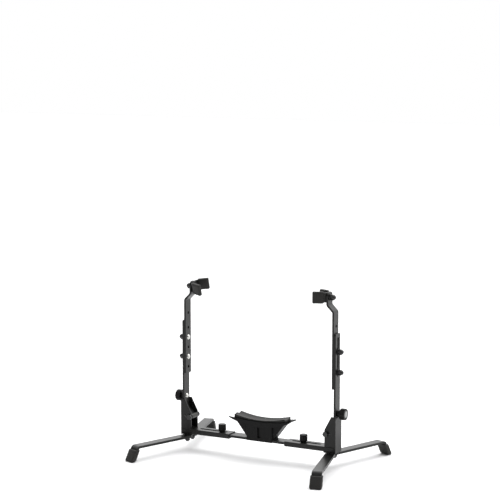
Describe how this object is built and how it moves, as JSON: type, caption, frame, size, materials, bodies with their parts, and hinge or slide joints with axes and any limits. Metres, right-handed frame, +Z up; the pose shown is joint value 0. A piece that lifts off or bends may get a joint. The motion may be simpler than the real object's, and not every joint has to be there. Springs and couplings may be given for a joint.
{
  "type": "brass horn floor stand",
  "caption": "Low folding floor stand for a small upright brass horn: padded cradle on a telescopic crossbar, swivelling legs, and an adjustable arm with a covered fork at each end.",
  "frame": {"origin": "on the floor, at the middle of the bounding box, midway between the two side brackets", "axes": "+Z up, +X along the crossbar towards the right-hand arm, -Y the front"},
  "size_m": [0.459, 0.3264, 0.3599],
  "materials": {
    "black_steel": "satin",
    "zinc_steel": "satin",
    "black_steel_fasteners": "gloss",
    "black_plastic": "matte",
    "black_rubber": "matte"
  },
  "bodies": {
    "crossbar": {"centre_bar": "black_steel", "cradle_body": "black_plastic", "cradle_pad": "black_rubber", "cradle_screws": "zinc_steel", "width_stud_left": "zinc_steel", "width_stud_right": "zinc_steel"},
    "side_left": {"outer_bar_left": "black_steel", "bracket_left": "black_steel", "stop_pin_left": "black_steel_fasteners", "leg_bolts_left": "zinc_steel", "leg_nuts_left": "zinc_steel", "leg_washers_left": "zinc_steel", "pivot_bolt_left": "black_steel_fasteners", "pivot_nut_left": "black_steel_fasteners"},
    "front_leg_left": {"front_leg_left": "black_steel", "front_foot_left": "black_rubber"},
    "rear_leg_left": {"rear_leg_left": "black_steel", "rear_foot_left": "black_rubber"},
    "upright_left": {"pivot_sleeve_left": "zinc_steel", "lower_arm_left": "black_steel", "lock_bolt_left": "zinc_steel"},
    "lock_knob_left": {"lock_knob_left": "black_plastic"},
    "slider_left": {"upper_arm_left": "black_steel", "height_screws_left": "zinc_steel", "height_washers_left": "black_steel_fasteners", "height_nuts_left": "black_steel_fasteners", "holder_bolt_left": "zinc_steel", "holder_nut_left": "black_steel_fasteners"},
    "holder_left": {"holder_fork_left": "black_steel", "holder_covers_left": "black_rubber"},
    "width_knob_left": {"width_knob_left": "black_plastic"},
    "side_right": {"outer_bar_right": "black_steel", "bracket_right": "black_steel", "stop_pin_right": "black_steel_fasteners", "leg_bolts_right": "zinc_steel", "leg_nuts_right": "zinc_steel", "leg_washers_right": "zinc_steel", "pivot_bolt_right": "black_steel_fasteners", "pivot_nut_right": "black_steel_fasteners"},
    "front_leg_right": {"front_leg_right": "black_steel", "front_foot_right": "black_rubber"},
    "rear_leg_right": {"rear_leg_right": "black_steel", "rear_foot_right": "black_rubber"},
    "upright_right": {"pivot_sleeve_right": "zinc_steel", "lower_arm_right": "black_steel", "lock_bolt_right": "zinc_steel"},
    "lock_knob_right": {"lock_knob_right": "black_plastic"},
    "slider_right": {"upper_arm_right": "black_steel", "height_screws_right": "zinc_steel", "height_washers_right": "black_steel_fasteners", "height_nuts_right": "black_steel_fasteners", "holder_bolt_right": "zinc_steel", "holder_nut_right": "black_steel_fasteners"},
    "holder_right": {"holder_fork_right": "black_steel", "holder_covers_right": "black_rubber"},
    "width_knob_right": {"width_knob_right": "black_plastic"}
  },
  "joints": [
    {"name": "width_left", "type": "slide", "parent": "crossbar", "child": "side_left", "axis": [-1, 0, 0], "range_m": [-0.036, 0.008]},
    {"name": "width_knob_turn_left", "type": "hinge", "parent": "crossbar", "child": "width_knob_left", "pos_m": [-0.0864, 0, 0.0505], "axis": [0, 0, 1], "continuous": true},
    {"name": "front_leg_turn_left", "type": "hinge", "parent": "side_left", "child": "front_leg_left", "pos_m": [-0.1631, -0.0102, 0.0285], "axis": [0, 0, 1], "range_deg": [0, 108]},
    {"name": "rear_leg_turn_left", "type": "hinge", "parent": "side_left", "child": "rear_leg_left", "pos_m": [-0.1631, 0.0102, 0.0285], "axis": [0, 0, 1], "range_deg": [-102, 0]},
    {"name": "fold_left", "type": "hinge", "parent": "side_left", "child": "upright_left", "pos_m": [-0.1551, 0, 0.0705], "axis": [0, 1, 0], "range_deg": [0, 70]},
    {"name": "lock_knob_turn_left", "type": "hinge", "parent": "upright_left", "child": "lock_knob_left", "pos_m": [-0.1861, 0, 0.111], "axis": [1, 0, 0], "continuous": true},
    {"name": "height_left", "type": "slide", "parent": "upright_left", "child": "slider_left", "axis": [0, 0, 1], "range_m": [-0.004, 0.025]},
    {"name": "holder_turn_left", "type": "hinge", "parent": "slider_left", "child": "holder_left", "pos_m": [-0.151, 0, 0.3425], "axis": [1, 0, 0], "range_deg": [-46, 14]},
    {"name": "width_right", "type": "slide", "parent": "crossbar", "child": "side_right", "axis": [-1, 0, 0], "range_m": [-0.02, 0.021]},
    {"name": "width_knob_turn_right", "type": "hinge", "parent": "crossbar", "child": "width_knob_right", "pos_m": [0.0996, 0, 0.0505], "axis": [0, 0, 1], "continuous": true},
    {"name": "front_leg_turn_right", "type": "hinge", "parent": "side_right", "child": "front_leg_right", "pos_m": [0.1631, -0.0102, 0.0285], "axis": [0, 0, 1], "range_deg": [-102, 0]},
    {"name": "rear_leg_turn_right", "type": "hinge", "parent": "side_right", "child": "rear_leg_right", "pos_m": [0.1631, 0.0102, 0.0285], "axis": [0, 0, 1], "range_deg": [0, 108]},
    {"name": "fold_right", "type": "hinge", "parent": "side_right", "child": "upright_right", "pos_m": [0.1551, 0, 0.0705], "axis": [0, 1, 0], "range_deg": [-70, 0]},
    {"name": "lock_knob_turn_right", "type": "hinge", "parent": "upright_right", "child": "lock_knob_right", "pos_m": [0.1861, 0, 0.111], "axis": [1, 0, 0], "continuous": true},
    {"name": "height_right", "type": "slide", "parent": "upright_right", "child": "slider_right", "axis": [0, 0, 1], "range_m": [-0.004, 0.025]},
    {"name": "holder_turn_right", "type": "hinge", "parent": "slider_right", "child": "holder_right", "pos_m": [0.151, 0, 0.3425], "axis": [1, 0, 0], "range_deg": [-30, 30]}
  ]
}
